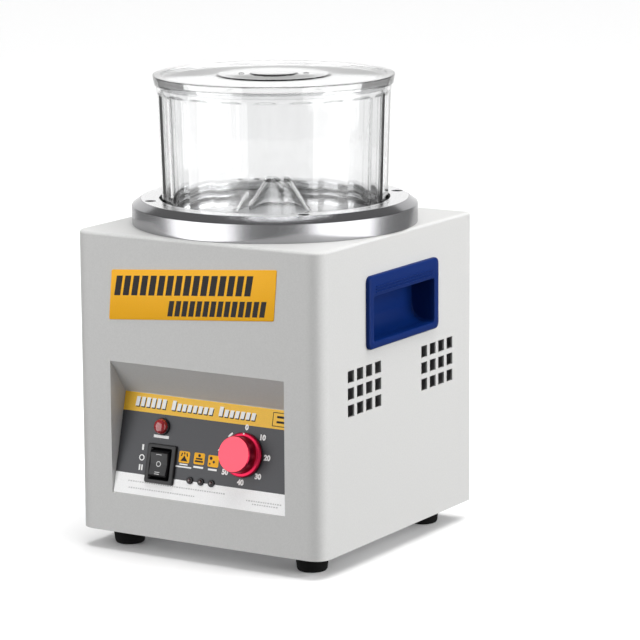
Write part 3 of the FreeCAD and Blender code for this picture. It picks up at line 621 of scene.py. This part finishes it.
ix, iv = icon_spots[1]
icon_marks += [bar(ix - 4.0, ix + 4.0, iv - 3.0, iv - 1.6), bar(ix - 3.2, ix + 3.2, iv - 0.8, iv + 0.6),
               disc(ix, iv + 2.6, 1.3)]
ix, iv = icon_spots[2]
icon_marks += [disc(ix - 2.4, iv + 2.2, 1.4), disc(ix - 3.2, iv - 2.4, 0.8), disc(ix + 0.6, iv - 0.6, 1.1)]
piece("panel_dark_marks", *joined([prism(o, ink_top - 0.01, ink_top + 0.05) for o in icon_marks + mark_box]),
      black_print, "housing", "overlay_print", place=PANEL)

numbers = []
for k, word in enumerate(("0", "10", "20", "30", "40", "50", "60")):
    curve = bpy.data.curves.new("number", "FONT")
    curve.body = word
    curve.size = 6.0
    curve.align_x = "CENTER"
    curve.align_y = "CENTER"
    curve.extrude = 0.03
    curve.offset = 0.32
    obj = put("number", curve)
    bpy.context.view_layer.update()
    mesh = bpy.data.meshes.new_from_object(obj.evaluated_get(bpy.context.evaluated_depsgraph_get()))
    spot = shift(TIMER[0] + DIAL_NUMBERS * math.sin(dial_turns[k]),
                 TIMER[1] + DIAL_NUMBERS * math.cos(dial_turns[k]), ink_top - 0.03)
    glyphs = [tuple(v.co) for v in mesh.vertices], [list(p.vertices) for p in mesh.polygons]
    numbers.append(moved(glyphs, spot))
    bpy.data.objects.remove(obj)
piece("dial_numbers", *joined(numbers), white_print, "housing", "overlay_print", place=PANEL)

# ---------------------------------------------------------------- lamp and status lights
lamp_bezel = softened([(5.0, -16), (5.5, -16), (5.5, FILM), (7.2, FILM), (7.2, 2.2), (6.5, 2.6), (5.0, 2.6)],
                      [0, 0, 0, 0.1, 0.4, 0.3, 0])
piece("lamp_bezel_ring", *lathe(lamp_bezel, 72), black_plastic, "housing", "black_plastic",
      place=PANEL @ shift(*LAMP), stands_for=["lamp_bezel"])
lens = softened([(0, -15), (4.8, -15), (4.8, 2.7), (6.4, 2.7), (6.4, 3.4), (5.6, 5.6), (3.2, 7.0), (0, 7.4)],
                [0, 0.3, 0, 0.3, 0.6, 1.6, 2.0, 0], steps=6, closed=False)
piece("lamp_lens_dome", *lathe(lens, 72, closed=False), red_lens, "housing", "red_lens",
      place=PANEL @ shift(*LAMP), sharp=60, stands_for=["lamp_lens"])
small_bezel = softened([(1.7, -6), (2.1, -6), (2.1, FILM), (3.1, FILM), (3.1, 1.5), (2.6, 1.8), (1.7, 1.8)],
                       [0, 0, 0, 0.1, 0.3, 0.2, 0])
small_lens = softened([(0, -7), (1.6, -7), (1.6, 2.0), (1.2, 2.8), (0, 3.1)], [0, 0.2, 0.3, 0.6, 0],
                      closed=False)
piece("status_bezel_rings", *joined([moved(lathe(small_bezel, 40), shift(*p)) for p in STATUS]),
      black_plastic, "housing", "black_plastic", place=PANEL, stands_for=["status_bezels"])
piece("status_lens_domes", *joined([moved(lathe(small_lens, 40, closed=False), shift(*p)) for p in STATUS]),
      dark_lens, "housing", "smoked_lens", place=PANEL, sharp=60, stands_for=["status_lenses"])

# ---------------------------------------------------------------- rocker switch
def rocker_top(y):
    """The rocker's top, which rises towards both ends."""
    return 4.7 + 2.2 * abs(y) / 12.6


def frame_loop(width, height, radius, h):
    return at_height(rounded_rect(width, height, radius, 5), h)


switch_loops = [frame_loop(25.0, 29.0, 1.0, -22.0), frame_loop(25.0, 29.0, 1.0, FILM),
                frame_loop(28.3, 32.8, 1.5, FILM), frame_loop(28.3, 32.8, 1.5, 2.0),
                frame_loop(27.7, 32.2, 1.5, 2.75), frame_loop(26.7, 31.2, 1.4, 3.0),
                frame_loop(21.0, 27.0, 1.2, 3.0), frame_loop(20.6, 26.6, 1.1, 2.8),
                frame_loop(18.2, 25.0, 0.8, 1.4), frame_loop(17.8, 24.6, 0.6, 0.9),
                frame_loop(17.8, 24.6, 0.6, -14.0)]
switch_place = PANEL @ shift(*SWITCH)
# The rocker's pivot pin, which runs through the rocker from side to side
pin = lathe([(0, -10.5), (1.2, -10.5), (1.2, 10.5), (0, 10.5)], 24, closed=False)
pin = moved(pin, shift(0, 0, -1.5) @ Matrix.Rotation(math.pi / 2, 4, "Y"))
piece("switch_housing", *joined([stack(switch_loops), pin]), black_plastic, "housing", "black_plastic",
      place=switch_place, stands_for=["switch_frame"])

rocker_loops = []
steps, half = 44, 8.5
for k in range(steps + 1):
    v = -11.7 + 23.4 * k / steps
    swing = math.sqrt(max(0.0, 12.0 ** 2 - v ** 2)) - 1.5
    top = min(rocker_top(v), swing)
    low = -6.0 if abs(v) < 10.5 else -6.0 + (abs(v) - 10.5) * 1.2
    rocker_loops.append([(-half, v, low), (half, v, low), (half, v, top - 0.6), (half - 0.2, v, top - 0.15),
                         (half - 0.7, v, top), (-half + 0.7, v, top), (-half + 0.2, v, top - 0.15),
                         (-half, v, top - 0.6)])
piece("switch_rocker_key", *stack(rocker_loops), black_plastic, "power_rocker", "black_plastic",
      place=switch_place, sharp=25, stands_for=["switch_rocker"])
rocker_marks = [bar(-2.6, 2.6, 7.4, 8.0)] + ring_bars(0, 0, 2.0, 0.7)
rocker_marks += [bar(-2.4, 2.4, -7.2, -6.6), bar(-2.4, 2.4, -8.8, -8.2)]
marks = joined([prism(o, lambda x, y: rocker_top(y) - 0.02, lambda x, y: rocker_top(y) + 0.06)
                for o in rocker_marks])
piece("rocker_marks", *marks, grey_print, "power_rocker", "black_plastic", place=switch_place)

# ---------------------------------------------------------------- timer knob
knob_place = PANEL @ shift(*TIMER)
knob_profile = softened([(0, 13.0), (3.1, 13.0), (3.1, 4.8), (9.0, 4.8), (9.0, 1.4), (18.4, 1.4), (18.4, 3.4),
                         (17.6, 4.3), (15.4, 4.6), (14.9, 5.4), (15.2, 14.9), (14.4, 16.3)],
                        [0, 0, 0, 0, 0.2, 0.4, 0.6, 0.6, 0.5, 0.6, 0.5, 0.4], closed=False)
knob_side = lathe(knob_profile, 160, closed=False)
piece("timer_knob_body", *knob_side, red_metal, "timer_control", "red_anodised", place=knob_place, sharp=25,
      stands_for=["timer_knob"])
face_profile = [(14.42, 16.28), (12.0, 16.22), (8.0, 16.16), (4.0, 16.12), (0, 16.1)]
# The face disc wears the lighter copy of the red anodising: painted light
piece("timer_knob_face", *lathe([(0, 15.6), (14.3, 15.6)] + face_profile, 160, closed=False), knob_face_painted_light,
      "timer_control", "red_anodised", place=knob_place, sharp=25)
pointer = prism(bar(-0.7, 0.7, 15.9, 18.0), 4.1, 4.42)
piece("timer_pointer", *pointer, white_print, "timer_control", "red_anodised", place=knob_place)

# ---------------------------------------------------------------- side grips
GRIP_LENGTH, GRIP_LOW, GRIP_HIGH = 114.8, 178.8, 239.5
CUP_LENGTH, CUP_LOW, CUP_HIGH, CUP_ROOF = 99.2, 184.9, 222.3, 233.0
BACK_LENGTH, BACK_LOW, BACK_HIGH = 103.2, 182.6, 235.9


def grip_loop(x, length, low, high, radius):
    return [(x, y, z) for y, z in rounded_rect(length, high - low, radius, 6, SIDE_CENTRE, (low + high) / 2)]


grip_loops = [grip_loop(120.0, GRIP_LENGTH, GRIP_LOW, GRIP_HIGH, 5.0),
              grip_loop(122.2, GRIP_LENGTH, GRIP_LOW, GRIP_HIGH, 5.0),
              grip_loop(123.0, GRIP_LENGTH - 0.8, GRIP_LOW + 0.4, GRIP_HIGH - 0.4, 4.7),
              grip_loop(123.5, GRIP_LENGTH - 2.4, GRIP_LOW + 1.2, GRIP_HIGH - 1.2, 4.1),
              grip_loop(123.5, 101.6, 183.7, 223.3, 3.4),
              grip_loop(123.2, 100.0, 184.6, 222.5, 3.0),
              grip_loop(122.4, CUP_LENGTH, CUP_LOW, CUP_HIGH, 2.8),
              grip_loop(118.2, CUP_LENGTH, CUP_LOW, CUP_HIGH, 2.8)]
inner_steps = 10
for k in range(inner_steps + 1):
    a = math.pi / 2 * k / inner_steps
    x = 115.0 - 14.0 * math.sin(a)
    rise = 14.0 * (1 - math.cos(a))
    grip_loops.append(grip_loop(x, CUP_LENGTH, CUP_LOW + rise, CUP_HIGH if k == 0 else CUP_ROOF, 2.8))
grip = [stack(grip_loops, cap_start=False)]
for z in (225.6, 228.0, 230.4):
    rib_low = rounded_rect(93.0, 1.3, 0.6, 4, SIDE_CENTRE, z)
    rib_high = rounded_rect(92.2, 0.6, 0.28, 4, SIDE_CENTRE, z)
    grip.append(stack([[(123.4, y, v) for y, v in rib_low], [(124.15, y, v) for y, v in rib_high]]))
grip_mesh = joined(grip)
back = stack([grip_loop(120.0, GRIP_LENGTH, GRIP_LOW, GRIP_HIGH, 5.0),
              grip_loop(120.0, BACK_LENGTH, BACK_LOW, BACK_HIGH, 3.0),
              grip_loop(99.2, BACK_LENGTH, BACK_LOW, BACK_HIGH, 3.0)], cap_start=False)
mirror = Matrix.Scale(-1, 4, (1, 0, 0))
whole_grip = joined([grip_mesh, back])
piece("grip_blue_right", *whole_grip, blue_plastic, "housing", "blue_plastic", stands_for=["grip_right"])
piece("grip_blue_left", *whole_grip, blue_plastic, "housing", "blue_plastic", place=mirror,
      stands_for=["grip_left"])

# ---------------------------------------------------------------- floor, light and camera
floor_mesh = bpy.data.meshes.new("floor")
floor_mesh.from_pydata([(-30, -30, 0), (30, -30, 0), (30, 30, 0), (-30, 30, 0)], [], [(0, 1, 2, 3)])
floor = put("floor", floor_mesh)
floor_mesh.materials.append(grained("floor", (0.95, 0.95, 0.95), 0.7, grain=40, tint=0.004, bump=0.0))
# The floor stays out of reflections and throws no light back onto the object
floor.visible_glossy = False
floor.visible_diffuse = False


def glow_material(name, radiance):
    """A material that only glows."""
    material, tree, _ = blank(name)
    tree.nodes.clear()
    emission = add(tree, "ShaderNodeEmission", {"Strength": radiance})
    output = add(tree, "ShaderNodeOutputMaterial")
    tree.links.new(emission.outputs["Emission"], output.inputs["Surface"])
    return material


# A pale round wall, in metres, which only the camera sees: the background above the floor
wall_outline = disc(0, 0, 9.0, 96)
wall_verts, wall_faces = stack([at_height(wall_outline, -0.2), at_height(wall_outline, 12.0)],
                               cap_start=False, cap_end=False)
wall_mesh = bpy.data.meshes.new("backdrop")
wall_mesh.from_pydata(wall_verts, [], wall_faces)
wall_mesh.materials.append(glow_material("backdrop", 0.90))
wall = put("backdrop", wall_mesh)
for ray in ("diffuse", "glossy", "transmission", "shadow"):
    setattr(wall, "visible_" + ray, False)

# The sky: its brightness by height, from level with the floor up to overhead
world = bpy.data.worlds.new("studio")
bpy.context.scene.world = world
world.use_nodes = True
sky = world.node_tree
background = sky.nodes["Background"]
direction = add(sky, "ShaderNodeTexCoord")
height = add(sky, "ShaderNodeSeparateXYZ")
sky.links.new(direction.outputs["Generated"], height.inputs[0])
ramp = add(sky, "ShaderNodeValToRGB")
levels = [(0.0, 0.33), (0.12, 0.34), (0.40, 0.26), (0.85, 0.30)]
while len(ramp.color_ramp.elements) < len(levels):
    ramp.color_ramp.elements.new(0.5)
for element, (position, level) in zip(ramp.color_ramp.elements, levels):
    element.position = position
    element.color = (level, level, level, 1)
sky.links.new(height.outputs[2], ramp.inputs["Fac"])
sky.links.new(ramp.outputs["Color"], background.inputs["Color"])
background.inputs["Strength"].default_value = 1.0

# The camera's own side of the object, in degrees about Z: azimuths of lights are measured from it
CAMERA_SIDE = -58.4


def softbox(name, azimuth, elevation, distance, width, height, radiance):
    """A soft light aimed at the middle of the object, which reflections don't show."""
    light = bpy.data.lights.new(name, "AREA")
    light.shape = "RECTANGLE"
    light.size, light.size_y = width, height
    light.energy = radiance * math.pi * width * height
    obj = put(name, light)
    a, e = math.radians(CAMERA_SIDE + azimuth), math.radians(elevation)
    way = Vector((math.cos(a) * math.cos(e), math.sin(a) * math.cos(e), math.sin(e)))
    target = Vector((0, 0, 0.2))
    obj.location = target + way * distance
    obj.rotation_euler = (-way).to_track_quat("-Z", "Y").to_euler()
    obj.visible_camera = False
    obj.visible_glossy = False


def card(name, azimuth, distance, width, low, high, radiance):
    """An upright glowing card facing the object, which only reflections show."""
    a = math.radians(CAMERA_SIDE + azimuth)
    way = Vector((math.cos(a), math.sin(a), 0))
    side = Vector((-way.y, way.x, 0)) * width / 2
    middle = way * distance
    corners = [middle - side + Vector((0, 0, low)), middle + side + Vector((0, 0, low)),
               middle + side + Vector((0, 0, high)), middle - side + Vector((0, 0, high))]
    mesh = bpy.data.meshes.new(name)
    mesh.from_pydata(corners, [], [(0, 1, 2, 3)])
    mesh.materials.append(glow_material(name, radiance))
    obj = put(name, mesh)
    for ray in ("camera", "diffuse", "transmission", "shadow"):
        setattr(obj, "visible_" + ray, False)
    return obj


card("card_right", 57, 2.0, 2.2, -1.2, 1.6, 3.3)
card("card_left", -60, 2.0, 2.3, -1.2, 1.6, 3.2)
# The card behind is also seen through the clear bowl
card("card_back", 180, 2.6, 3.4, -0.6, 1.9, 1.05).visible_transmission = True
softbox("softbox_right", 72, 13, 2.0, 1.6, 1.6, 4.9)
softbox("softbox_left", -60, 22, 2.0, 1.4, 1.6, 2.8)
softbox("softbox_top", 0, 88, 1.7, 1.6, 1.6, 0.75)
sun = bpy.data.lights.new("overhead", "SUN")
sun.energy = 2.55
sun.angle = math.radians(50)
sun_object = put("overhead", sun)
sun_object.visible_glossy = False
sun_object.rotation_euler = (math.radians(-6), math.radians(8), 0)

# The camera's place and turn, fitted to the photo's outline
CAMERA_PLACE, FOCAL_LENGTH = (1.42828, -2.25071, 0.69262), 180.5
YAW, PITCH, ROLL = math.radians(31.6), math.radians(-10.81), math.radians(-0.39)
camera_data = bpy.data.cameras.new("camera")
camera_data.sensor_width = 36.0
camera_data.lens = FOCAL_LENGTH
camera_data.clip_end = 100.0
camera = put("camera", camera_data)
forward = Vector((-math.sin(YAW) * math.cos(PITCH), math.cos(YAW) * math.cos(PITCH), math.sin(PITCH)))
right = Vector((math.cos(YAW), math.sin(YAW), 0))
up = right.cross(forward)
across = right * math.cos(ROLL) + up * math.sin(ROLL)
upward = up * math.cos(ROLL) - right * math.sin(ROLL)
turn = Matrix((across, upward, -forward)).transposed()
camera.matrix_world = Matrix.Translation(CAMERA_PLACE) @ turn.to_4x4()
bpy.context.scene.camera = camera
bpy.context.scene.view_settings.view_transform = "Standard"
